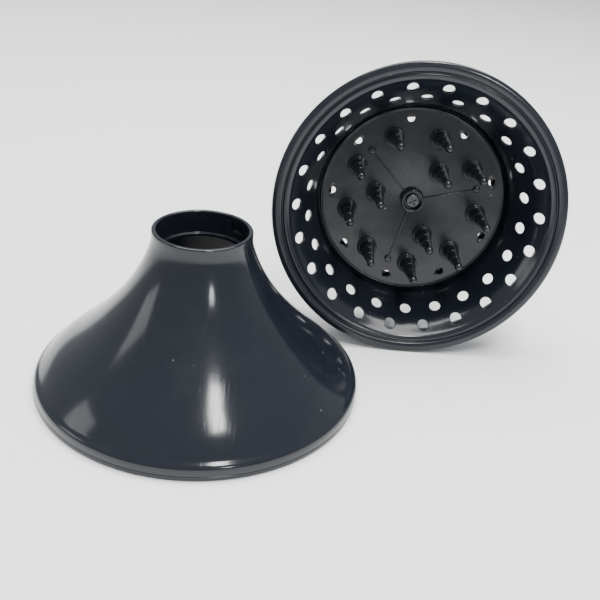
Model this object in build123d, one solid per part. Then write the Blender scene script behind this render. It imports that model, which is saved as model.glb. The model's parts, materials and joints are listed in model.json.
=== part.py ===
from build123d import *
import os
from math import cos, hypot, radians, sin, tan

# Salon dryer diffuser, taken apart: a trumpet hood that stands on its mouth, and beside it the
# perforated front bowl with its fingered disc, standing on its edge. Millimetres, +Z up.

# ---- driving dimensions: hood ----
MOUTH_R = 85.0            # outside of the hood's wide mouth
HOOD_H = 87.5             # mouth to neck
NECK_R = 25.1             # outside of the neck
WALL = 2.2                # moulding thickness
BORE_R = NECK_R - WALL    # socket for the dryer's barrel
BORE_LEN = 12.0
STOP_R = BORE_R - 1.4     # small inner lip that stops the barrel
STOP_H = 2.0
BAND_H = 5.0              # straight band round the mouth
FLARE = [                 # outside of the trumpet, (radius, height)
    (81.8, 9.4), (75.1, 16.5), (62.4, 27.6), (49.2, 40.5),
    (38.7, 53.3), (31.0, 66.1), (26.6, 76.6),
]
SEAT_R = 81.0             # rebate that takes the back of the bowl's rim
SEAT_H = 3.0              # height of the ledge that the rim meets
STEP_R = 78.4             # inside of the ledge
GROOVE_DEPTH = 0.6        # snap groove for the bowl's catches
KEY_WAYS = 2              # locating recesses inside the neck
KEY_WAY_ANGLE = 48.0
KEY_WAY_SIZE = (1.2, 7.0, 5.0)

# ---- driving dimensions: bowl, in its own frame, +Z out of the hollow side, rim at z = 0 ----
RIM_R = 82.5              # widest part of the rolled rim
LEAN = 9.3                # lean of the standing bowl, equal to the draft of its rim
RIM_ROUND = 1.9
RIM_DEPTH = 18.0
RIM_WALL = 2.2
SKIRT_R = 77.8            # plug skirt behind the rim
SKIRT_DEPTH = 21.5
SKIRT_WALL = 2.2
CATCHES = 4
CATCH_SPAN = 10.0         # degrees
BOWL_WALL = 1.8
BOWL_SLOPE = [            # hollow side of the perforated wall, (radius, depth)
    (72.3, 2.6), (68.2, 7.0), (62.0, 18.6), (57.6, 29.6), (55.8, 41.4),
]
FLOOR_DEPTH = 43.2
FLOOR_T = 1.6
FLOOR_OPEN_R = 48.2
HOLES_PER_ROW = 22
HOLE_R = 3.15
HOLE_TILT = 26.0          # the holes lean in towards the bowl's axis
ROWS = [(68.2, 7.3, 1.4), (62.0, 18.9, 9.6)]    # radius, depth, first angle
ARMS = 3
ARM_W = 7.0
BOSS_R = 7.0
BOSS_BACK = 52.0
PILOT_R = 1.9

# ---- driving dimensions: disc, fingers and screw, in the bowl's frame ----
DISC_R = 54.5
DISC_DEPTH = 38.0
DISC_T = 1.6
DISC_PHASE = 17.5         # angle of the first small hole
VENTS = 9
VENT_R = 2.1
VENT_CIRCLE = 48.1
OUTER_FINGERS = 9
OUTER_CIRCLE = 39.0
INNER_FINGERS = 3
INNER_CIRCLE = 22.3
FINGER_PHASE = DISC_PHASE + 14.7
FINGER_H = 38.0
TIP_R = 2.3
SOCKET_R = 6.0
SOCKET_H = 1.8
STUB_R = 2.4
RIBS = 3
RIB_ANGLE = DISC_PHASE - 3.0
RIB_W = 0.8
RIB_H = 1.0
RIB_END = 38.5
STUD_R = 2.1
HUB_R = 6.9
HUB_BORE_R = 5.2
HUB_H = 4.5
GAP = 0.3                 # between pieces that come apart
WASHER_R = 4.6
WASHER_T = 0.8
WASHER_LIFT = 0.1
HEAD_R = 4.1
HEAD_H = 2.6
SHANK_R = 1.6
SHANK_LEN = 15.0

# ---- place of the standing bowl beside the hood ----
BOWL_X = 113.7
BOWL_Y = 56.9


def outline(*edges):
    """A flat face in the XZ plane, closed by the given edges."""
    return Plane.XZ * make_face(Curve() + list(edges))


def lathe(*edges):
    """A ring or shell turned about Z from the edges of its profile."""
    return revolve(outline(*edges), Axis.Z)


def inset(points, thickness):
    """The points moved sideways by a wall thickness, to the right of their path."""
    moved = []
    last = len(points) - 1
    for i, (r, z) in enumerate(points):
        before = points[max(i - 1, 0)]
        after = points[min(i + 1, last)]
        dr = after[0] - before[0]
        dz = after[1] - before[1]
        size = hypot(dr, dz)
        moved.append((r - dz / size * thickness, z + dr / size * thickness))
    return moved


def tube(outer, inner, low, high):
    """A plain ring between two heights."""
    ring = Circle(outer) - Circle(inner)
    return extrude(Pos(0, 0, low) * ring, high - low)


def rod(radius, low, high):
    """A plain cylinder between two heights."""
    return extrude(Pos(0, 0, low) * Circle(radius), high - low)


def around(count, first, radius):
    """Places evenly round a circle, each with its X axis pointing outward."""
    return [Rot(0, 0, first + 360 / count * i) * Pos(radius, 0, 0) for i in range(count)]


# ---- hood ----

def make_hood():
    """Trumpet: band and shoulder at the mouth, flared wall, neck with its socket."""
    low = inset(FLARE, WALL)
    neck_low = HOOD_H - 3.5
    stop_top = HOOD_H - BORE_LEN
    stop_low = stop_top - STOP_H
    lip_in = SEAT_R + 0.5
    lip_out = MOUTH_R - 1.4
    outer = Spline(FLARE + [(NECK_R, neck_low)], tangents=[(-0.9, 1.0), (0.0, 1.0)])
    throat = (low[-1][0], stop_low - 1.5)
    inner = Spline([throat] + low[-2::-1], tangents=[(0.25, -1.0), (0.75, -1.0)])
    shell = lathe(
        Line((lip_in, 0), (lip_out, 0)),
        RadiusArc((lip_out, 0), (MOUTH_R, 1.4), -1.4),
        Line((MOUTH_R, 1.4), (MOUTH_R, BAND_H)),
        ThreePointArc((MOUTH_R, BAND_H), (84.2, 7.4), FLARE[0]),
        outer,
        Line((NECK_R, neck_low), (NECK_R, HOOD_H - 0.7)),
        RadiusArc((NECK_R, HOOD_H - 0.7), (NECK_R - 0.7, HOOD_H), -0.7),
        Line((NECK_R - 0.7, HOOD_H), (BORE_R + 0.5, HOOD_H)),
        Line((BORE_R + 0.5, HOOD_H), (BORE_R, HOOD_H - 0.5)),
        Line((BORE_R, HOOD_H - 0.5), (BORE_R, stop_top)),
        Line((BORE_R, stop_top), (STOP_R, stop_top)),
        Line((STOP_R, stop_top), (STOP_R, stop_low)),
        Line((STOP_R, stop_low), throat),
        inner,
        Line(low[0], (STEP_R, low[0][1] - 0.4)),
        Line((STEP_R, low[0][1] - 0.4), (STEP_R, SEAT_H)),
        Line((STEP_R, SEAT_H), (SEAT_R, SEAT_H)),
        Line((SEAT_R, SEAT_H), (SEAT_R, 0.5)),
        Line((SEAT_R, 0.5), (lip_in, 0)),
    )
    groove_low = SEAT_H + 2.0
    shell -= tube(STEP_R + GROOVE_DEPTH, STEP_R - 2, groove_low, groove_low + 1.4)
    depth, width, height = KEY_WAY_SIZE
    middle = HOOD_H - BORE_LEN / 2
    for place in around(KEY_WAYS, KEY_WAY_ANGLE, BORE_R):
        shell -= place * Pos(0, 0, middle) * Box(2 * depth, width, height)
    return shell


# ---- bowl ----

def spoke(length, width, low, high):
    """A straight bar that starts on the axis and runs out along X."""
    return extrude(Pos(length / 2, 0, low) * Rectangle(length, width), high - low)


def make_bowl_wall():
    """Rolled rim, inner trim ring, sloping wall, floor ring and plug skirt, as one turned shell."""
    wall = [(r, -d) for r, d in BOWL_SLOPE]
    back = inset(wall, BOWL_WALL)
    rim_back = RIM_R - tan(radians(LEAN)) * (RIM_DEPTH - RIM_ROUND)
    skirt_in = SKIRT_R - SKIRT_WALL
    rim_in_front = RIM_R - RIM_WALL - 0.4
    rim_in_back = rim_back - RIM_WALL
    floor = -FLOOR_DEPTH
    under = floor - FLOOR_T
    return lathe(
        Line((rim_back, -RIM_DEPTH), (RIM_R, -RIM_ROUND)),
        ThreePointArc((RIM_R, -RIM_ROUND), (RIM_R - 0.5, -0.5), (RIM_R - 1.9, 0)),
        ThreePointArc((RIM_R - 1.9, 0), (78.8, -0.05), (77.0, -0.6)),
        Line((77.0, -0.6), (76.7, -1.7)),
        Line((76.7, -1.7), (76.0, -1.7)),
        Line((76.0, -1.7), (75.7, -0.9)),
        Line((75.7, -0.9), (73.3, -1.5)),
        Line((73.3, -1.5), wall[0]),
        Spline(wall, tangents=[(-0.9, -1.0), (-0.2, -1.0)]),
        ThreePointArc(wall[-1], (55.3, floor + 0.5), (54.3, floor)),
        Line((54.3, floor), (FLOOR_OPEN_R, floor)),
        Line((FLOOR_OPEN_R, floor), (FLOOR_OPEN_R, under)),
        Line((FLOOR_OPEN_R, under), (55.2, under)),
        Line((55.2, under), back[-1]),
        Spline(back[::-1], tangents=[(0.2, 1.0), (0.9, 1.0)]),
        Line(back[0], (rim_in_front, -3.4)),
        Line((rim_in_front, -3.4), (rim_in_back, -RIM_DEPTH + 1.2)),
        Line((rim_in_back, -RIM_DEPTH + 1.2), (skirt_in, -RIM_DEPTH)),
        Line((skirt_in, -RIM_DEPTH), (skirt_in, -SKIRT_DEPTH)),
        Line((skirt_in, -SKIRT_DEPTH), (SKIRT_R, -SKIRT_DEPTH)),
        Line((SKIRT_R, -SKIRT_DEPTH), (SKIRT_R, -RIM_DEPTH)),
        Line((SKIRT_R, -RIM_DEPTH), (rim_back, -RIM_DEPTH)),
    )


def make_bowl():
    """Perforated bowl with its spider, centre boss and four catches."""
    bowl = make_bowl_wall()
    under = -FLOOR_DEPTH - FLOOR_T
    for place in around(ARMS, FINGER_PHASE, 0):
        bowl += place * spoke(FLOOR_OPEN_R + 1, ARM_W, under, -FLOOR_DEPTH)
    boss_front = -DISC_DEPTH - DISC_T - GAP
    bowl += rod(BOSS_R, -BOSS_BACK, boss_front)
    bowl -= rod(PILOT_R, -BOSS_BACK - 1, boss_front + 1)
    snap = tube(STEP_R + GROOVE_DEPTH - 0.2, SKIRT_R - 1, -SKIRT_DEPTH + 0.2, -SKIRT_DEPTH + 1.2)
    wedge = Rot(0, 0, -CATCH_SPAN / 2) * revolve(
        Plane.XZ * Pos(80, -SKIRT_DEPTH) * Rectangle(12, 8), Axis.Z, CATCH_SPAN
    )
    for place in around(CATCHES, 45, 0):
        bowl += place * (snap & wedge)
    cutter = Rot(0, -HOLE_TILT, 0) * Cylinder(HOLE_R, 9.0)
    for radius, depth, first in ROWS:
        cutters = [place * Pos(0, 0, -depth) * cutter for place in around(HOLES_PER_ROW, first, radius)]
        bowl -= cutters
    return bowl


# ---- centre disc ----

def finger_places():
    """Where the fingers stand: an outer ring of nine and an inner ring of three."""
    outer = around(OUTER_FINGERS, FINGER_PHASE, OUTER_CIRCLE)
    inner = around(INNER_FINGERS, FINGER_PHASE + 20, INNER_CIRCLE)
    return outer + inner


def make_disc():
    """Disc with an edge bead, finger sockets, small holes, hub collar, three ribs and their studs."""
    front = -DISC_DEPTH
    back = front - DISC_T
    disc = rod(DISC_R, back, front)
    disc += tube(DISC_R, DISC_R - 0.9, back, front + 0.5)
    disc += rod(HUB_R, back, front + HUB_H)
    for place in around(RIBS, RIB_ANGLE, 0):
        disc += place * spoke(RIB_END, RIB_W, front - 0.2, front + RIB_H)
    for place in around(RIBS, RIB_ANGLE, RIB_END):
        disc += place * rod(STUD_R, front - 0.2, front + RIB_H + 0.8)
    for place in finger_places():
        disc += place * rod(SOCKET_R, front - 0.2, front + SOCKET_H)
    disc -= rod(HUB_BORE_R, front, front + HUB_H + 1)
    disc -= rod(SHANK_R + GAP, back - 1, front + 1)
    disc -= [place * rod(VENT_R, back - 1, front + 1) for place in around(VENTS, DISC_PHASE, VENT_CIRCLE)]
    sockets = [place * rod(STUB_R, back - 1, front + SOCKET_H + 1) for place in finger_places()]
    return disc - sockets


# ---- finger ----

def make_finger():
    """Stepped finger: stub, root collar, three tapering steps and a rounded tip."""
    seat = -DISC_DEPTH + SOCKET_H
    end = -DISC_DEPTH + FINGER_H
    rise = (end - seat - 5.0) / 3
    first = seat + 1.8
    second = first + rise
    third = second + rise
    neck = third + rise
    return lathe(
        Line((0, -DISC_DEPTH - DISC_T), (STUB_R, -DISC_DEPTH - DISC_T)),
        Line((STUB_R, -DISC_DEPTH - DISC_T), (STUB_R, seat)),
        Line((STUB_R, seat), (5.3, seat)),
        Line((5.3, seat), (5.1, first)),
        Line((5.1, first), (4.5, first)),
        Line((4.5, first), (3.9, second)),
        Line((3.9, second), (3.5, second)),
        Line((3.5, second), (3.0, third)),
        Line((3.0, third), (2.6, third)),
        Line((2.6, third), (2.1, neck)),
        Line((2.1, neck), (TIP_R, end - TIP_R)),
        CenterArc((0, end - TIP_R), TIP_R, 0, 90),
        Line((0, end), (0, -DISC_DEPTH - DISC_T)),
    )


# ---- screw and washer ----

def make_washer():
    """Plain washer under the screw's head, just clear of the disc."""
    low = -DISC_DEPTH + WASHER_LIFT
    return tube(WASHER_R, SHANK_R + GAP, low, low + WASHER_T)


def make_screw():
    """Pan-head screw with a cross recess."""
    seat = -DISC_DEPTH + WASHER_LIFT + WASHER_T
    top = seat + HEAD_H
    screw = rod(HEAD_R, seat, top)
    screw = fillet(screw.edges().group_by(Axis.Z)[-1], 1.1)
    screw += rod(SHANK_R, seat - SHANK_LEN, seat + 0.2)
    for angle in (30, 120):
        slot = Pos(0, 0, top - 1.5) * Rectangle(5.0, 1.1)
        screw -= Rot(0, 0, angle) * extrude(slot, 2.0)
    return screw


# ---- assembly ----

def standing():
    """Frame of the bowl: on its rim beside the hood, hollow side to -Y, leaning back by its draft."""
    lean = radians(LEAN)
    rest = RIM_R * cos(lean) + RIM_ROUND * sin(lean)
    return Plane(origin=(BOWL_X, BOWL_Y, rest), x_dir=(1, 0, 0), z_dir=(0, -cos(lean), sin(lean)))


def make_all():
    """Every sub-part by name, in the shared frame, before it is centred."""
    place = standing().location
    nodes = {"hood_shell": make_hood()}
    nodes["bowl_shell"] = place * make_bowl()
    nodes["centre_disc"] = place * make_disc()
    finger = make_finger()
    for number, spot in enumerate(finger_places(), 1):
        nodes[f"finger_{number:02d}"] = place * spot * finger
    nodes["hub_washer"] = place * make_washer()
    nodes["hub_screw"] = place * make_screw()
    return nodes


def main():
    """Centre the whole on the origin's bottom and write one file per sub-part."""
    os.makedirs("parts", exist_ok=True)
    nodes = make_all()
    boxes = [shape.bounding_box() for shape in nodes.values()]
    middle_x = (min(b.min.X for b in boxes) + max(b.max.X for b in boxes)) / 2
    middle_y = (min(b.min.Y for b in boxes) + max(b.max.Y for b in boxes)) / 2
    shift = Pos(-middle_x, -middle_y, -min(b.min.Z for b in boxes))
    for name, shape in nodes.items():
        export_step(shift * shape, f"parts/{name}.step")


main()
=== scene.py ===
"""Dryer diffuser, taken apart: a trumpet hood and a perforated bowl with a disc of stepped fingers."""

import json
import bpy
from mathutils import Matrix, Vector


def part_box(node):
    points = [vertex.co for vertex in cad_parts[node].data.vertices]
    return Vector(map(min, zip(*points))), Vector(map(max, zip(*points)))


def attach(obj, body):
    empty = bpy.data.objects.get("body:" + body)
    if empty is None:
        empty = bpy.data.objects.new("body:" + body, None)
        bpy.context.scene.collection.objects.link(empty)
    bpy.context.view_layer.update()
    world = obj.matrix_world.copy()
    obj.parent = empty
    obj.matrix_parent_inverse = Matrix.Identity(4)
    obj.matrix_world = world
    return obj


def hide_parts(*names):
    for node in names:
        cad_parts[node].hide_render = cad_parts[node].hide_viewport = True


bl_info = {
    "name": "Dryer Diffuser",
    "version": (1, 0, 0),
    "blender": (4, 5, 0),
    "location": "3D View > Sidebar > Diffuser",
    "description": "Builds the hood, bowl, disc and fingers of a salon dryer diffuser",
    "category": "Add Mesh",
}

from math import cos, pi, radians, sin

import bmesh
import bpy
import numpy as np
from bpy.props import FloatProperty, FloatVectorProperty, IntProperty, PointerProperty
from bpy.types import Operator, Panel, PropertyGroup
from mathutils import Matrix, Vector

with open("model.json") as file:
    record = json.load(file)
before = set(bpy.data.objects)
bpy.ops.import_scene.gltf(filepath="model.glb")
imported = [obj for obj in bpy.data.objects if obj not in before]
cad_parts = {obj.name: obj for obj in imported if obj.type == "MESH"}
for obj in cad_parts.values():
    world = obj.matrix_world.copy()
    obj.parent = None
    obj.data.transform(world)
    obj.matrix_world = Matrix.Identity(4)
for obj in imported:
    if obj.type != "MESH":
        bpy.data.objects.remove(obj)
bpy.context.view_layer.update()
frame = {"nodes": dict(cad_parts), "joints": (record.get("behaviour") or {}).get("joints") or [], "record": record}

MM = 0.001
MOUNTS = {m["name"]: m for m in frame["record"]["mounts"]}
JOINTS = {j["name"]: j for j in frame["joints"]}
FINGERS = sorted(name for name in frame["nodes"] if name.startswith("finger_"))
HOOD_LOW, HOOD_HIGH = (np.array(corner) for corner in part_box("hood_shell"))
SOCKET = MOUNTS["neck_socket"]
BOWL_AXIS = np.array(JOINTS["disc_pull"]["axis"])

# Depths behind the bowl's rim, as the CAD has them, in millimetres.
DISC_DEPTH = 38.0
WASHER_MIDDLE = DISC_DEPTH - 0.5

# Angles round the bowl, in degrees: first small hole of the disc, first finger, first hole of the wall.
VENT_PHASE = 17.5
FINGER_PHASE = 32.2
ROW_PHASE = 1.4

# Edges of the two perforated bands, in millimetres behind the rim; a row of holes lies midway in each.
BAND_EDGES = (-2.7, -12.0, -25.8)

# Mean steepness of the perforated wall, in degrees from the rim's plane.
WALL_ANGLE = 62.0

# Middles of the two key ways in the neck, in degrees round the hood, and how deep they are cut.
KEY_ANGLES = (48.0, -132.0)
KEY_DEPTH = 1.2


# ---- places ----

def hood_place():
    """4x4 of the hood's own frame: on its axis, at the mouth."""
    x, y, _ = SOCKET["pos_m"]
    return np.array(Matrix.Translation((x, y, HOOD_LOW[2])))


def bowl_place():
    """4x4 of the bowl's own frame: rim at z = 0, +Z out of the hollow side, X level."""
    low, high = (np.array(corner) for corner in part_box("hub_washer"))
    z = BOWL_AXIS / np.linalg.norm(BOWL_AXIS)
    x = np.array([1.0, 0.0, 0.0])
    place = np.eye(4)
    place[:3, 0] = x
    place[:3, 1] = np.cross(z, x)
    place[:3, 2] = z
    place[:3, 3] = (low + high) / 2 + z * WASHER_MIDDLE * MM
    return place


def turned(angle, radius=0.0):
    """4x4 that turns about Z by an angle in degrees and then steps outward, in millimetres."""
    return np.array(Matrix.Rotation(radians(angle), 4, "Z") @ Matrix.Translation((radius, 0, 0)))


# ---- shapes: each returns (points, quads) in millimetres ----

def curve(points, start, end, count):
    """Cubic spline through (r, z) points, clamped to the end directions.

    Each stretch is h00(t) p + h10(t) d m + h01(t) q + h11(t) d n, the cubic Hermite form, with the slopes m
    and n solved so that the second derivative is continuous; t is the share of the chord length d."""
    p = np.array(points, float)
    d = np.linalg.norm(np.diff(p, axis=0), axis=1)
    last = len(p) - 1
    a = np.zeros((last + 1, last + 1))
    b = np.zeros((last + 1, 2))
    a[0, 0] = a[last, last] = 1
    b[0] = np.array(start) / np.linalg.norm(start)
    b[last] = np.array(end) / np.linalg.norm(end)
    for i in range(1, last):
        a[i, i - 1:i + 2] = d[i], 2 * (d[i - 1] + d[i]), d[i - 1]
        b[i] = 3 * (d[i] * (p[i] - p[i - 1]) / d[i - 1] + d[i - 1] * (p[i + 1] - p[i]) / d[i])
    m = np.linalg.solve(a, b)
    s = np.linspace(0, d.sum(), count)
    knots = np.concatenate([[0], np.cumsum(d)])
    k = np.clip(np.searchsorted(knots, s, "right") - 1, 0, last - 1)
    t = ((s - knots[k]) / d[k])[:, None]
    h = d[k][:, None]
    return ((1 + 2 * t) * (1 - t) ** 2 * p[k] + t * (1 - t) ** 2 * h * m[k]
            + t * t * (3 - 2 * t) * p[k + 1] + t * t * (t - 1) * h * m[k + 1])


def rounded(corners, closed=True, steps=4):
    """Polyline (r, z, radius) with each corner replaced by a quadratic bend.

    The bend is (1-t)^2 a + 2 t (1-t) p + t^2 b, with a and b at the radius's distance before and after p."""
    pts = np.array([c[:2] for c in corners], float)
    radii = np.array([c[2] if len(c) > 2 else 0.0 for c in corners])
    out = []
    total = len(pts)
    for i in range(total):
        if radii[i] == 0 or (not closed and i in (0, total - 1)):
            out.append(pts[i:i + 1])
            continue
        p = pts[i]
        before = pts[i - 1] - p
        after = pts[(i + 1) % total] - p
        a = p + before / np.linalg.norm(before) * min(radii[i], np.linalg.norm(before) * 0.48)
        b = p + after / np.linalg.norm(after) * min(radii[i], np.linalg.norm(after) * 0.48)
        t = np.linspace(0, 1, steps + 1)[:, None]
        out.append((1 - t) ** 2 * a + 2 * t * (1 - t) * p + t * t * b)
    return np.concatenate(out)


def sheet(grid, wrap_u=False, wrap_v=False):
    """Points and quads of a (u, v, 3) grid; a wrapped side joins its last line to its first."""
    nu, nv = grid.shape[:2]
    index = np.arange(nu * nv).reshape(nu, nv)
    if wrap_u:
        index = np.concatenate([index, index[:1]])
    if wrap_v:
        index = np.concatenate([index, index[:, :1]], axis=1)
    quads = np.stack([index[:-1, :-1], index[1:, :-1], index[1:, 1:], index[:-1, 1:]], axis=-1)
    return grid.reshape(-1, 3), quads.reshape(-1, 4)


def lathe(profile, turns=96, first=0.0, closed=True):
    """Surface of revolution: (r(v) cos u, r(v) sin u, z(v)) for u once round and v along the profile."""
    u = radians(first) + np.linspace(0, 2 * pi, turns, endpoint=False)[:, None]
    r, z = profile[:, 0][None], profile[:, 1][None]
    grid = np.stack([r * np.cos(u), r * np.sin(u), z + 0 * u], axis=-1)
    return sheet(grid, wrap_u=True, wrap_v=closed)


def bar(start, end, width, low, high, edge):
    """Straight bar along X: a rounded rectangle carried from start to end, its ends drawn in and closed."""
    half = width / 2
    section = rounded([(-half, low), (half, low), (half, high, edge), (-half, high, edge)])
    middle = section.mean(axis=0)
    x = np.array([start, start, end - edge, end, end])
    size = np.array([0.0, 1.0, 1.0, 1 - edge / width, 0.0])[:, None, None]
    yz = middle + (section - middle)[None] * size
    grid = np.concatenate([np.broadcast_to(x[:, None, None], yz.shape[:2] + (1,)), yz], axis=-1)
    return sheet(grid, wrap_v=True)


def arc_block(low_r, high_r, low, high, first, span, edge):
    """Block that follows a circle: a rounded rectangle in (r, z) carried round part of a turn and closed."""
    section = rounded([(low_r, low, edge), (high_r, low, edge), (high_r, high, edge), (low_r, high, edge)])
    middle = section.mean(axis=0)
    u = radians(first) + radians(span) * np.concatenate([[0, 0], np.linspace(0.02, 0.98, 9), [1, 1]])
    size = np.ones(len(u))
    size[[0, -1]] = 0
    size[[1, -2]] = 0.8
    rz = middle + (section - middle)[None] * size[:, None, None]
    r, z = rz[..., 0], rz[..., 1]
    grid = np.stack([r * np.cos(u)[:, None], r * np.sin(u)[:, None], z], axis=-1)
    return sheet(grid[::-1], wrap_v=True)


def pierced(profile, shift, holes, first, radius, stretch, along, across, rings=4):
    """Band of wall round Z with a row of drilled holes, front, back and hole walls.

    The band is a strip of cells, one to a hole. A cell's point is a mix of a point on the hole's edge, an
    ellipse of radius times (1, stretch), and the point of the cell's border in the same direction. Both are
    in (angle, share of the profile's length) and then go through the lathe's formula. The back is the front
    moved by shift in (r, z), along the drill's axis."""
    length = np.concatenate([[0], np.cumsum(np.linalg.norm(np.diff(profile, axis=0), axis=1))])
    total = length[-1]
    side_u = np.linspace(-1, 1, across + 1)
    side_v = np.linspace(-1, 1, along + 1)
    border = np.concatenate([
        np.stack([side_u[:-1], -np.ones(across)], 1), np.stack([np.ones(along), side_v[:-1]], 1),
        np.stack([side_u[:0:-1], np.ones(across)], 1), np.stack([-np.ones(along), side_v[:0:-1]], 1)])
    half_angle = pi / holes
    mid_r = np.interp(total / 2, length, profile[:, 0])
    reach = np.array([half_angle * mid_r, total / 2])
    flat = border * reach
    turn = np.arctan2(flat[:, 1] / stretch, flat[:, 0])
    edge = np.stack([np.cos(turn), np.sin(turn) * stretch], 1) * radius
    w = np.linspace(0, 1, rings + 1)[:, None, None] ** 1.3
    cell = edge[None] * (1 - w) + flat[None] * w

    def lift(cell_points, dr, dz, angle):
        s = total / 2 + cell_points[..., 1]
        r = np.interp(s, length, profile[:, 0])
        z = np.interp(s, length, profile[:, 1])
        a = angle + cell_points[..., 0] / mid_r
        return np.stack([(r + dr) * np.cos(a), (r + dr) * np.sin(a), z + dz], axis=-1)

    lip = 0.25
    parts = []
    for i in range(holes):
        angle = radians(first) + 2 * pi * i / holes
        front = lift(cell, 0, 0, angle)
        back = lift(cell, *shift, angle)
        wide = lift(cell[:1] * (1 + lip / radius), 0, 0, angle)[0]
        front[0] = wide
        inner = lift(cell[:1], shift[0] * 0.12, shift[1] * 0.12, angle)[0]
        tube = np.stack([wide, inner, back[0]])
        parts += [sheet(front[::-1], wrap_v=True), sheet(back, wrap_v=True), sheet(tube, wrap_v=True)]
    return joined(parts)


def joined(parts):
    """Several (points, quads) as one."""
    points, quads, start = [], [], 0
    for p, q in parts:
        points.append(p)
        quads.append(q + start)
        start += len(p)
    return np.concatenate(points), np.concatenate(quads)


def moved(part, place):
    """A part's points through a 4x4 whose step is in millimetres."""
    points, quads = part
    return points @ place[:3, :3].T + place[:3, 3], quads


def piece(name, part, place, body, nodes, material, sharp=38):
    """Makes the object: points through its place, doubles merged, faces outward, edges sharp by angle."""
    points = part[0] * MM @ place[:3, :3].T + place[:3, 3]
    mesh = bpy.data.meshes.new(name)
    mesh.from_pydata(points.tolist(), [], part[1].tolist())
    work = bmesh.new()
    work.from_mesh(mesh)
    bmesh.ops.remove_doubles(work, verts=work.verts, dist=2e-6)
    bmesh.ops.dissolve_degenerate(work, edges=work.edges, dist=1e-7)
    bmesh.ops.recalc_face_normals(work, faces=work.faces)
    work.to_mesh(mesh)
    work.free()
    mesh.shade_smooth()
    mesh.set_sharp_from_angle(angle=radians(sharp))
    made = bpy.data.objects.new(name, mesh)
    bpy.context.scene.collection.objects.link(made)
    mesh.materials.append(material)
    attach(made, body)
    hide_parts(*nodes)


# ---- finishes ----

def node(tree, kind, at, **values):
    """Adds a node; values set its sockets by name, or its settings where no socket has the name."""
    made = tree.nodes.new(kind)
    made.location = at
    for key, value in values.items():
        name = key.replace("_", " ")
        if name in made.inputs:
            made.inputs[name].default_value = value
        else:
            setattr(made, key, value)
    return made


def group(name, inputs, outputs):
    """A new node group with named sockets: inputs are (name, kind, default), outputs (name, kind)."""
    tree = bpy.data.node_groups.new(name, "ShaderNodeTree")
    for label, kind, default in inputs:
        made = tree.interface.new_socket(label, in_out="INPUT", socket_type=kind)
        if default is not None:
            made.default_value = default
    for label, kind in outputs:
        tree.interface.new_socket(label, in_out="OUTPUT", socket_type=kind)
    return tree, tree.nodes.new("NodeGroupInput"), tree.nodes.new("NodeGroupOutput")


def scratch_group():
    """Fine hairline scratches in two directions: a mask of thin broken lines."""
    tree, come, go = group(
        "Hairline Scratches",
        [("Vector", "NodeSocketVector", None), ("Amount", "NodeSocketFloat", 0.5)],
        [("Mask", "NodeSocketFloat")])
    masks = []
    for turn, stretch in ((0.35, 14.0), (1.9, 22.0)):
        mapping = node(tree, "ShaderNodeMapping", (-800, 300 * turn))
        mapping.inputs["Rotation"].default_value = (0.3, turn, turn * 1.7)
        mapping.inputs["Scale"].default_value = (stretch, 1.0, 1.0)
        tree.links.new(come.outputs["Vector"], mapping.inputs["Vector"])
        noise = node(tree, "ShaderNodeTexNoise", (-600, 300 * turn), Scale=45.0, Detail=3.0, Roughness=0.6)
        tree.links.new(mapping.outputs["Vector"], noise.inputs["Vector"])
        thin = node(tree, "ShaderNodeMapRange", (-400, 300 * turn), From_Min=0.62, From_Max=0.7)
        tree.links.new(noise.outputs["Fac"], thin.inputs["Value"])
        masks.append(thin)
    both = node(tree, "ShaderNodeMath", (-200, 200), operation="MAXIMUM")
    tree.links.new(masks[0].outputs["Result"], both.inputs[0])
    tree.links.new(masks[1].outputs["Result"], both.inputs[1])
    scaled = node(tree, "ShaderNodeMath", (0, 200), operation="MULTIPLY")
    tree.links.new(both.outputs[0], scaled.inputs[0])
    tree.links.new(come.outputs["Amount"], scaled.inputs[1])
    tree.links.new(scaled.outputs[0], go.inputs["Mask"])
    return tree


def dust_group():
    """Dust: sparse pale specks with cloudy patches between them."""
    tree, come, go = group(
        "Dust",
        [("Vector", "NodeSocketVector", None), ("Amount", "NodeSocketFloat", 0.5)],
        [("Mask", "NodeSocketFloat")])
    cells = node(tree, "ShaderNodeTexVoronoi", (-800, 200), Scale=210.0, Randomness=1.0)
    tree.links.new(come.outputs["Vector"], cells.inputs["Vector"])
    speck = node(tree, "ShaderNodeMapRange", (-600, 200), From_Min=0.16, From_Max=0.06)
    tree.links.new(cells.outputs["Distance"], speck.inputs["Value"])
    pick = node(tree, "ShaderNodeSeparateColor", (-600, 0))
    tree.links.new(cells.outputs["Color"], pick.inputs["Color"])
    few = node(tree, "ShaderNodeMath", (-400, 0), operation="GREATER_THAN")
    few.inputs[1].default_value = 0.95
    tree.links.new(pick.outputs["Red"], few.inputs[0])
    specks = node(tree, "ShaderNodeMath", (-200, 100), operation="MULTIPLY")
    tree.links.new(speck.outputs["Result"], specks.inputs[0])
    tree.links.new(few.outputs[0], specks.inputs[1])
    cloud = node(tree, "ShaderNodeTexNoise", (-600, -250), Scale=28.0, Detail=6.0, Roughness=0.7)
    tree.links.new(come.outputs["Vector"], cloud.inputs["Vector"])
    film = node(tree, "ShaderNodeMapRange", (-400, -250), From_Min=0.5, From_Max=0.85, To_Max=0.1)
    tree.links.new(cloud.outputs["Fac"], film.inputs["Value"])
    most = node(tree, "ShaderNodeMath", (-100, -50), operation="MAXIMUM")
    tree.links.new(specks.outputs[0], most.inputs[0])
    tree.links.new(film.outputs["Result"], most.inputs[1])
    scaled = node(tree, "ShaderNodeMath", (50, -50), operation="MULTIPLY")
    tree.links.new(most.outputs[0], scaled.inputs[0])
    tree.links.new(come.outputs["Amount"], scaled.inputs[1])
    tree.links.new(scaled.outputs[0], go.inputs["Mask"])
    return tree


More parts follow.
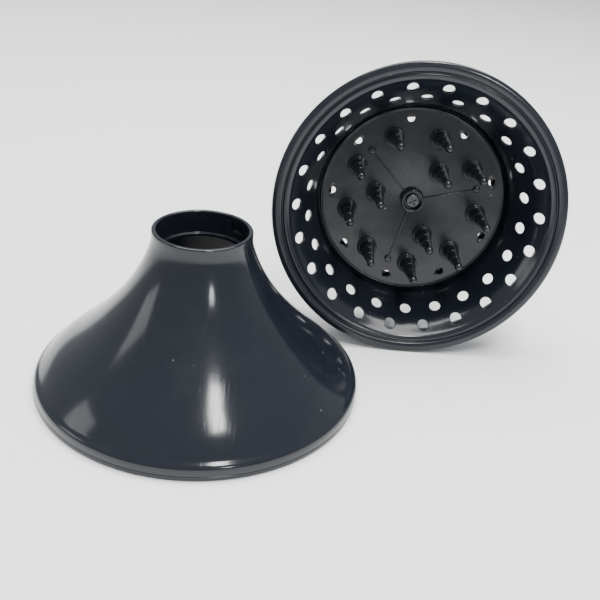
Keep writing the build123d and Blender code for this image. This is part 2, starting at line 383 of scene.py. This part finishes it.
def ripple_group():
    """Moulding ripple: broad soft waves and a very fine grain, as a height."""
    tree, come, go = group(
        "Moulding Ripple",
        [("Vector", "NodeSocketVector", None), ("Wave", "NodeSocketFloat", 1.0),
         ("Grain", "NodeSocketFloat", 0.1)],
        [("Height", "NodeSocketFloat")])
    heights = []
    for scale, label, at in ((32.0, "Wave", 200), (900.0, "Grain", -100)):
        noise = node(tree, "ShaderNodeTexNoise", (-600, at), Scale=scale, Detail=2.0)
        tree.links.new(come.outputs["Vector"], noise.inputs["Vector"])
        scaled = node(tree, "ShaderNodeMath", (-400, at), operation="MULTIPLY")
        tree.links.new(noise.outputs["Fac"], scaled.inputs[0])
        tree.links.new(come.outputs[label], scaled.inputs[1])
        heights.append(scaled)
    total = node(tree, "ShaderNodeMath", (-200, 50), operation="ADD")
    tree.links.new(heights[0].outputs[0], total.inputs[0])
    tree.links.new(heights[1].outputs[0], total.inputs[1])
    tree.links.new(total.outputs[0], go.inputs["Height"])
    return tree


def shared(name, build):
    """A node group by name, built the first time it is asked for."""
    return bpy.data.node_groups.get(name) or build()


def placed(tree, shared_tree, at, **values):
    """A node group placed in a material, with its own values."""
    made = tree.nodes.new("ShaderNodeGroup")
    made.node_tree = shared_tree
    made.location = at
    for key, value in values.items():
        made.inputs[key].default_value = value
    return made


def black_plastic(name, colour, roughness, scratches, dust, wave, grain):
    """Gloss black moulding: near-black, with hairline scratches, dust and a faint moulding ripple."""
    material = bpy.data.materials.new(name)
    material.use_nodes = True
    tree = material.node_tree
    shader = tree.nodes["Principled BSDF"]
    shader.inputs["IOR"].default_value = 1.49
    space = node(tree, "ShaderNodeTexCoord", (-1300, 0))
    lines = placed(tree, shared("Hairline Scratches", scratch_group), (-1000, 200), Amount=scratches)
    specks = placed(tree, shared("Dust", dust_group), (-1000, 0), Amount=dust)
    ripple = placed(tree, shared("Moulding Ripple", ripple_group), (-1000, -250), Wave=wave, Grain=grain)
    for effect in (lines, specks, ripple):
        tree.links.new(space.outputs["Object"], effect.inputs["Vector"])
    tint = node(tree, "ShaderNodeMix", (-600, 200), data_type="RGBA")
    tint.inputs[6].default_value = (*colour, 1)
    tint.inputs[7].default_value = (0.42, 0.45, 0.47, 1)
    tree.links.new(specks.outputs["Mask"], tint.inputs[0])
    tree.links.new(tint.outputs[2], shader.inputs["Base Color"])
    dull = node(tree, "ShaderNodeMath", (-600, 0), operation="MULTIPLY_ADD")
    dull.inputs[1].default_value = 0.25
    dull.inputs[2].default_value = roughness
    tree.links.new(lines.outputs["Mask"], dull.inputs[0])
    duller = node(tree, "ShaderNodeMath", (-400, 0), operation="MULTIPLY_ADD")
    duller.inputs[1].default_value = 0.5
    tree.links.new(specks.outputs["Mask"], duller.inputs[0])
    tree.links.new(dull.outputs[0], duller.inputs[2])
    tree.links.new(duller.outputs[0], shader.inputs["Roughness"])
    scored = node(tree, "ShaderNodeMath", (-700, -250), operation="MULTIPLY_ADD")
    scored.inputs[1].default_value = -0.12
    tree.links.new(lines.outputs["Mask"], scored.inputs[0])
    tree.links.new(ripple.outputs["Height"], scored.inputs[2])
    bump = node(tree, "ShaderNodeBump", (-400, -250), Strength=0.5, Distance=0.0004)
    tree.links.new(scored.outputs[0], bump.inputs["Height"])
    tree.links.new(bump.outputs["Normal"], shader.inputs["Normal"])
    return material


def dark_steel(name, colour, roughness):
    """Dark plated steel: metal with fine scratches and grain."""
    material = bpy.data.materials.new(name)
    material.use_nodes = True
    tree = material.node_tree
    shader = tree.nodes["Principled BSDF"]
    shader.inputs["Metallic"].default_value = 1.0
    shader.inputs["Base Color"].default_value = (*colour, 1)
    space = node(tree, "ShaderNodeTexCoord", (-1000, 0))
    lines = placed(tree, shared("Hairline Scratches", scratch_group), (-800, 100), Amount=1.0)
    ripple = placed(tree, shared("Moulding Ripple", ripple_group), (-800, -150), Wave=0.4, Grain=0.5)
    for effect in (lines, ripple):
        tree.links.new(space.outputs["Object"], effect.inputs["Vector"])
    dull = node(tree, "ShaderNodeMath", (-500, 100), operation="MULTIPLY_ADD")
    dull.inputs[1].default_value = 0.3
    dull.inputs[2].default_value = roughness
    tree.links.new(lines.outputs["Mask"], dull.inputs[0])
    tree.links.new(dull.outputs[0], shader.inputs["Roughness"])
    bump = node(tree, "ShaderNodeBump", (-400, -150), Strength=0.4, Distance=0.0003)
    tree.links.new(ripple.outputs["Height"], bump.inputs["Height"])
    tree.links.new(bump.outputs["Normal"], shader.inputs["Normal"])
    return material


# ---- sizes and colours that a user would change ----

class DIFFUSER_PG_hood(PropertyGroup):
    """Hood sizes; those that the frame fixes come from it."""
    mouth: FloatProperty(
        name="Mouth Radius", description="Outside radius of the wide mouth", unit="LENGTH",
        default=float(HOOD_HIGH[0] - HOOD_LOW[0]) / 2)
    height: FloatProperty(
        name="Height", description="From the mouth to the top of the neck", unit="LENGTH",
        default=float(HOOD_HIGH[2] - HOOD_LOW[2]))
    bore: FloatProperty(
        name="Bore Radius", description="Radius of the dryer socket", unit="LENGTH",
        default=SOCKET["dims"]["r_mm"] * MM)
    bore_length: FloatProperty(
        name="Bore Length", description="Length of the dryer socket", unit="LENGTH",
        default=SOCKET["dims"]["length_mm"] * MM)
    wall: FloatProperty(
        name="Wall", description="Moulding thickness", unit="LENGTH", default=2.2 * MM)
    turns: IntProperty(name="Turns", description="Steps round the hood", default=256)


class DIFFUSER_PG_bowl(PropertyGroup):
    """Bowl sizes."""
    rim: FloatProperty(
        name="Rim Radius", description="Widest part of the rolled rim", unit="LENGTH", default=82.5 * MM)
    holes: IntProperty(name="Holes", description="Holes in each of the two rows", default=22)
    hole: FloatProperty(
        name="Hole Radius", description="Radius of the drilled holes", unit="LENGTH", default=3.15 * MM)
    hole_tilt: FloatProperty(
        name="Hole Tilt", description="How far the holes lean in to the axis", unit="ROTATION",
        default=radians(26.0))
    wall: FloatProperty(
        name="Wall", description="Wall thickness", unit="LENGTH", default=1.8 * MM)


class DIFFUSER_PG_disc(PropertyGroup):
    """Disc and finger sizes."""
    radius: FloatProperty(
        name="Disc Radius", description="Outside radius of the disc", unit="LENGTH", default=54.5 * MM)
    vents: IntProperty(name="Vents", description="Small holes near the edge", default=9)
    vent: FloatProperty(
        name="Vent Radius", description="Radius of the small holes", unit="LENGTH", default=2.1 * MM)
    finger: FloatProperty(
        name="Finger Height", description="Finger height from the disc's face", unit="LENGTH",
        default=38.0 * MM)


class DIFFUSER_PG_finish(PropertyGroup):
    """Colours and gloss; the disc colour is darkened to paint shade on the disc and fingers."""
    plastic: FloatVectorProperty(
        name="Plastic", description="Colour of the gloss black moulding", subtype="COLOR",
        default=(0.008, 0.010, 0.015))
    # Painted shade: the disc and finger colour is set darker than the hood and bowl plastic so the disc looks
    # darker where it sits deep in the bowl.
    disc: FloatVectorProperty(
        name="Disc", description="Colour of the disc and fingers", subtype="COLOR",
        default=(0.006, 0.008, 0.011))
    steel: FloatVectorProperty(
        name="Steel", description="Colour of the screw and washer", subtype="COLOR",
        default=(0.09, 0.095, 0.10))
    gloss: FloatProperty(
        name="Roughness", description="Roughness of the gloss moulding", default=0.13, min=0, max=1)


class DIFFUSER_PG_stage(PropertyGroup):
    """Camera and lights."""
    lens: FloatProperty(
        name="Lens", description="Focal length in millimetres on a 36 mm sensor", default=51.0)
    place: FloatVectorProperty(
        name="Camera Place", description="Camera from the hood's axis at the mouth", subtype="TRANSLATION",
        unit="LENGTH", default=(0.0441, -0.3833, 0.2575))
    turn: FloatVectorProperty(
        name="Camera Turn", description="Camera rotation", subtype="EULER",
        default=(radians(61.75), radians(-4.53), radians(1.44)))
    floor: FloatProperty(name="Floor", description="Width of the pale floor", unit="LENGTH", default=8.0)


# ---- pieces ----

def finish(name):
    """The material of that name, made from the finish settings the first time."""
    made = bpy.data.materials.get(name)
    if made:
        return made
    look = bpy.context.scene.diffuser_finish
    if name == "Hood Gloss":
        return black_plastic(name, look.plastic, look.gloss, 0.25, 0.16, 0.55, 0.02)
    if name == "Bowl Gloss":
        return black_plastic(name, look.plastic, look.gloss + 0.04, 0.2, 0.15, 0.6, 0.03)
    # Disc and fingers take the darker disc colour, which is painted shade on the same black plastic.
    if name == "Disc Gloss":
        return black_plastic(name, look.disc, look.gloss + 0.07, 0.22, 0.3, 2.2, 0.06)
    if name == "Finger Gloss":
        return black_plastic(name, look.disc, look.gloss, 0.15, 0.2, 0.5, 0.03)
    return dark_steel(name, look.steel, 0.32)


class DIFFUSER_OT_hood(Operator):
    """Builds the trumpet hood: band, shoulder, flared wall, neck and socket"""
    bl_idname = "diffuser.hood"
    bl_label = "Hood"

    def profile(self, size):
        """Closed (r, z) outline in millimetres: outside from mouth to neck, then inside back down."""
        mouth, top = size.mouth / MM, size.height / MM
        wall, bore = size.wall / MM, size.bore / MM
        stop = top - size.bore_length / MM
        flare = [(81.8, 9.4), (75.1, 16.5), (62.4, 27.6), (49.2, 40.5),
                 (38.7, 53.3), (31.0, 66.1), (26.6, 76.6), (bore + wall, top - 3.5)]
        outside = curve(flare, (-0.9, 1.0), (0, 1), 90)
        shoulder = curve([(mouth, 5.0), (84.2, 7.4), flare[0]], (0, 1), (-0.9, 1.0), 9)[:-1]
        slope = np.gradient(outside, axis=0)
        slope /= np.linalg.norm(slope, axis=1)[:, None]
        inside = outside + np.stack([-slope[:, 1], slope[:, 0]], 1) * wall
        inside = inside[inside[:, 1] < stop - 3.5][::-1]
        key = [(bore, stop + z) for z in (8.6, 8.5, 3.5, 3.4)]
        foot = rounded([
            (78.4, 3.0, 0.3), (81.0, 3.0, 0.2), (81.0, 0.0, 0.8), (mouth, 0.0, 1.6),
            (mouth, 2.5, 0.12), (mouth - 0.25, 2.65, 0.1), (mouth, 2.8, 0.12), (mouth, 3.8)], closed=False)
        neck = rounded([
            (bore + wall, top - 2.5), (bore + wall, top, 0.9), (bore, top, 0.7),
            (bore, stop + 9.2)], closed=False)
        lip = rounded([(bore, stop + 2.4), (bore, stop, 0.3), (bore - 1.4, stop, 0.4),
                       (bore - 1.4, stop - 2.0, 0.4), inside[0]], closed=False)[:-1]
        end = rounded([inside[-1], (78.4, 7.7, 0.5), (78.4, 6.6)], closed=False)[1:]
        groove = np.array([(78.4, 6.4), (79.0, 6.35), (79.0, 5.05), (78.4, 5.0), (78.4, 4.4)])
        return np.concatenate([foot, shoulder, outside, neck, key, lip, inside, end, groove])

    def execute(self, context):
        size = context.scene.diffuser_hood
        points, quads = lathe(self.profile(size), size.turns)
        bore, top = size.bore / MM, size.height / MM
        low = top - size.bore_length / MM + 3.45
        r = np.hypot(points[:, 0], points[:, 1])
        angle = np.degrees(np.arctan2(points[:, 1], points[:, 0]))
        for middle in KEY_ANGLES:
            near = np.abs((angle - middle + 180) % 360 - 180) * radians(bore) < 3.5
            key = near & (np.abs(r - bore) < 0.01) & (points[:, 2] > low) & (points[:, 2] < low + 5.1)
            points[key, :2] *= (bore + KEY_DEPTH) / bore
        piece("hood", (points, quads), hood_place(), "hood", ["hood_shell"],
              finish("Hood Gloss"), sharp=30)
        return {"FINISHED"}


class DIFFUSER_OT_bowl(Operator):
    """Builds the perforated bowl with its rolled rim, floor ring, spider, boss and catches"""
    bl_idname = "diffuser.bowl"
    bl_label = "Bowl"

    def execute(self, context):
        size = context.scene.diffuser_bowl
        rim, tilt, wall = size.rim / MM, size.hole_tilt, size.wall / MM
        slope = curve([(72.3, -2.6), (68.2, -7.0), (62.0, -18.6), (57.6, -29.6), (55.8, -41.4)],
                      (-0.9, -1.0), (-0.2, -1.0), 181)
        steep = radians(WALL_ANGLE)
        step = wall / cos(steep - tilt)
        shift = np.array([sin(tilt), -cos(tilt)]) * step
        starts = (ROW_PHASE, ROW_PHASE + 180 / size.holes)
        cuts = [int(np.argmin(np.abs(slope[:, 1] - z))) for z in BAND_EDGES]
        across, along = 12, 8
        turns = size.holes * across
        first = starts[0] - 180 / size.holes
        parts = []
        for low, high, start in zip(cuts, cuts[1:], starts):
            band = slope[low:high + 1]
            parts.append(pierced(band, shift, size.holes, start, size.hole / MM,
                                 1 / cos(steep - tilt), along, across))
        back = slope + shift
        front_rim = rounded([
            tuple(back[cuts[0]]), (75.6, -3.6, 0.6), (79.9, -3.4, 0.5), (77.7, -16.8, 0.3),
            (75.6, -18.0, 0.3),
            (75.6, -21.5, 0.3), (77.8, -21.5, 0.5), (77.8, -18.0, 0.3), (rim - 2.64, -18.0, 0.5),
            (rim, -1.9, 0.8), (rim - 0.4, -0.5, 0.6),
            (rim - 1.9, 0.0, 0.9), (78.8, -0.05, 1.0), (77.1, -0.5, 0.5), (76.7, -1.7, 0.3),
            (76.0, -1.7, 0.3),
            (75.7, -0.9, 0.4), (74.4, -0.95, 0.5), (73.0, -1.6, 0.8), tuple(slope[cuts[0]])], closed=False)
        foot = rounded([
            (55.4, -42.6, 0.6), (54.3, -43.2, 0.5), (48.2, -43.2, 0.25), (48.2, -44.8, 0.25),
            (55.2, -44.8, 0.9), (56.9, -43.4, 0.6)], closed=True)
        lower = np.concatenate([slope[cuts[2]:], foot, back[:cuts[2] - 1:-1]])
        parts.append(lathe(front_rim, turns, first, closed=False))
        parts.append(lathe(lower, turns, first, closed=False))
        for i in range(3):
            parts.append(moved(bar(0, 49.2, 7.0, -44.8, -43.2, 0.4), turned(FINGER_PHASE + 120 * i)))
        boss = rounded([(1.9, -52.0, 0.2), (7.0, -52.0, 0.6), (7.0, -39.9, 0.4), (1.9, -39.9, 0.2)])
        parts.append(lathe(boss, 64))
        for angle in (45, 135, 225, 315):
            parts.append(arc_block(76.8, 78.8, -21.3, -20.3, angle - 5, 10, 0.3))
        piece("bowl", joined(parts), bowl_place(), "bowl", ["bowl_shell"],
              finish("Bowl Gloss"))
        return {"FINISHED"}


class DIFFUSER_OT_disc(Operator):
    """Builds the centre disc with its edge bead, small holes, sockets, hub collar, ribs and studs"""
    bl_idname = "diffuser.disc"
    bl_label = "Centre Disc"

    def execute(self, context):
        size = context.scene.diffuser_disc
        edge = size.radius / MM
        front, thick = -DISC_DEPTH, 1.6
        back = front - thick
        ring = np.linspace(52.1, 44.1, 33)
        band = np.stack([ring, np.full(33, front)], 1)
        across = 24
        turns = size.vents * across
        first = VENT_PHASE - 180 / size.vents
        parts = [pierced(band, (0, -thick), size.vents, VENT_PHASE, size.vent / MM, 1.0, 8, across)]
        outer = rounded([
            (52.1, back), (edge, back, 0.3), (edge, front + 0.5, 0.35), (edge - 0.9, front + 0.5, 0.35),
            (edge - 1.1, front, 0.2), (52.1, front)], closed=False)
        inner = rounded([
            (44.1, front), (1.9, front, 0.1), (1.9, back, 0.1), (44.1, back)], closed=False)
        collar = rounded([
            (5.2, front - 0.3), (6.9, front - 0.3), (6.9, front + 4.5, 0.8), (5.2, front + 4.5, 0.5)])
        parts.append(lathe(outer, turns, first, closed=False))
        parts.append(lathe(inner, turns, first, closed=False))
        parts.append(lathe(collar, 96))
        socket = rounded([(0, front - 0.3), (6.0, front - 0.3), (6.0, front + 1.8, 0.7), (0, front + 1.8)])
        stud = rounded([(0, front - 0.3), (2.1, front - 0.3), (2.1, front + 1.8, 0.9), (0, front + 1.8)])
        for place in finger_places():
            parts.append(moved(lathe(socket, 48), place))
        for i in range(3):
            angle = VENT_PHASE - 3 + 120 * i
            parts.append(moved(bar(6.0, 38.5, 0.8, front - 0.2, front + 1.0, 0.25), turned(angle)))
            parts.append(moved(lathe(stud, 32), turned(angle, 38.5)))
        piece("disc", joined(parts), bowl_place(), "disc", ["centre_disc"],
              finish("Disc Gloss"))
        return {"FINISHED"}


def finger_places():
    """4x4 of each finger's root in the bowl's frame: an outer ring of nine, then an inner ring of three."""
    outer = [turned(FINGER_PHASE + 40 * i, 39.0) for i in range(9)]
    inner = [turned(FINGER_PHASE + 20 + 120 * i, 22.3) for i in range(3)]
    return outer + inner


class DIFFUSER_OT_fingers(Operator):
    """Builds the stepped fingers, one object to a finger"""
    bl_idname = "diffuser.fingers"
    bl_label = "Fingers"

    def execute(self, context):
        height = context.scene.diffuser_disc.finger / MM
        seat = -DISC_DEPTH + 1.8
        end = -DISC_DEPTH + height
        rise = (end - seat - 5.0) / 3
        first, second, third = (seat + 1.8 + rise * i for i in range(3))
        neck = third + rise
        tip = 2.3
        t = np.linspace(0, pi / 2, 9)
        ball = np.stack([tip * np.cos(t), end - tip + tip * np.sin(t)], 1)
        ball[-1, 0] = 0
        body = rounded([
            (0, -DISC_DEPTH - 1.6), (2.4, -DISC_DEPTH - 1.6, 0.3), (2.4, seat), (5.3, seat, 0.1),
            (5.1, first, 0.5), (4.5, first, 0.25), (3.9, second, 0.35), (3.5, second, 0.25),
            (3.0, third, 0.35), (2.6, third, 0.25), (2.1, neck, 0.3),
            (tip, end - tip - 0.4, 0.3)], closed=False)
        shape = lathe(np.concatenate([body, ball]), 40, closed=False)
        for name, place in zip(FINGERS, finger_places()):
            piece(name + "_part", moved(shape, place), bowl_place(), "disc", [name],
                  finish("Finger Gloss"), sharp=42)
        return {"FINISHED"}


class DIFFUSER_OT_fasteners(Operator):
    """Gives the frame's own screw and washer their dark steel"""
    bl_idname = "diffuser.fasteners"
    bl_label = "Screw and Washer"

    def execute(self, context):
        for name, look in (("hub_screw", "Screw Steel"), ("hub_washer", "Washer Steel")):
            slots = frame["nodes"][name].data.materials
            slots.clear()
            slots.append(finish(look))
        return {"FINISHED"}


class DIFFUSER_OT_stage(Operator):
    """Sets the pale floor, the soft studio lights and the camera"""
    bl_idname = "diffuser.stage"
    bl_label = "Stage"

    def soft_light(self, name, at, aim, width, height, power):
        """A rectangular soft light at a place, turned to its aim."""
        data = bpy.data.lights.new(name, "AREA")
        data.shape = "RECTANGLE"
        data.size, data.size_y, data.energy = width, height, power
        made = bpy.data.objects.new(name, data)
        bpy.context.scene.collection.objects.link(made)
        made.location = at
        made.rotation_euler = (Vector(aim) - Vector(at)).to_track_quat("-Z", "Y").to_euler()

    def execute(self, context):
        stage = context.scene.diffuser_stage
        mesh = bpy.data.meshes.new("floor")
        half = stage.floor / 2
        corners = [(-half, -half, 0), (half, -half, 0), (half, half, 0), (-half, half, 0)]
        mesh.from_pydata(corners, [], [(0, 1, 2, 3)])
        floor = bpy.data.objects.new("floor", mesh)
        context.scene.collection.objects.link(floor)
        pale = bpy.data.materials.new("Pale Floor")
        pale.use_nodes = True
        pale.node_tree.nodes["Principled BSDF"].inputs["Base Color"].default_value = (0.97, 0.97, 0.97, 1)
        pale.node_tree.nodes["Principled BSDF"].inputs["Roughness"].default_value = 0.9
        mesh.materials.append(pale)
        world = bpy.data.worlds.new("Soft Studio")
        context.scene.world = world
        world.use_nodes = True
        world.node_tree.nodes["Background"].inputs["Color"].default_value = (0.93, 0.97, 1.0, 1)
        world.node_tree.nodes["Background"].inputs["Strength"].default_value = 0.62
        self.soft_light("overhead", (0.1, 0.3, 1.5), (0, 0, 0), 1.6, 1.0, 46)
        self.soft_light("window", (0.2, -0.5, 1.15), (-0.05, 0, 0.03), 0.16, 0.42, 9)
        self.soft_light("lamp", (0.45, -1.05, 0.55), (-0.05, 0, 0.05), 0.1, 0.16, 2.0)
        self.soft_light("side", (-1.2, -0.2, 0.5), (0, 0, 0.05), 0.35, 0.4, 1.1)
        data = bpy.data.cameras.new("camera")
        data.sensor_width = 36
        data.lens = stage.lens
        camera = bpy.data.objects.new("camera", data)
        camera.location = Vector(hood_place()[:3, 3]) + Vector(stage.place)
        camera.rotation_euler = stage.turn
        context.scene.collection.objects.link(camera)
        context.scene.camera = camera
        return {"FINISHED"}


class DIFFUSER_PT_panel(Panel):
    """Lists the settings and the steps"""
    bl_label = "Dryer Diffuser"
    bl_idname = "DIFFUSER_PT_panel"
    bl_space_type = "VIEW_3D"
    bl_region_type = "UI"
    bl_category = "Diffuser"

    def draw(self, context):
        for name in GROUPS:
            box = self.layout.box()
            box.label(text=name.title())
            settings = getattr(context.scene, "diffuser_" + name)
            for key in settings.__annotations__:
                box.prop(settings, key)
        for step in STEPS:
            self.layout.operator(step.bl_idname)


GROUPS = {
    "hood": DIFFUSER_PG_hood, "bowl": DIFFUSER_PG_bowl, "disc": DIFFUSER_PG_disc,
    "finish": DIFFUSER_PG_finish, "stage": DIFFUSER_PG_stage,
}
STEPS = (
    DIFFUSER_OT_hood, DIFFUSER_OT_bowl, DIFFUSER_OT_disc, DIFFUSER_OT_fingers,
    DIFFUSER_OT_fasteners, DIFFUSER_OT_stage,
)


def register():
    """Registers the settings, operators and panel."""
    for name, kind in GROUPS.items():
        bpy.utils.register_class(kind)
        setattr(bpy.types.Scene, "diffuser_" + name, PointerProperty(type=kind))
    for kind in STEPS + (DIFFUSER_PT_panel,):
        bpy.utils.register_class(kind)


def unregister():
    """Removes them again."""
    for kind in (DIFFUSER_PT_panel,) + STEPS[::-1]:
        bpy.utils.unregister_class(kind)
    for name, kind in GROUPS.items():
        delattr(bpy.types.Scene, "diffuser_" + name)
        bpy.utils.unregister_class(kind)


def main():
    register()
    bpy.ops.diffuser.hood()
    bpy.ops.diffuser.bowl()
    bpy.ops.diffuser.disc()
    bpy.ops.diffuser.fingers()
    bpy.ops.diffuser.fasteners()
    bpy.ops.diffuser.stage()


if __name__ == "__main__":
    main()
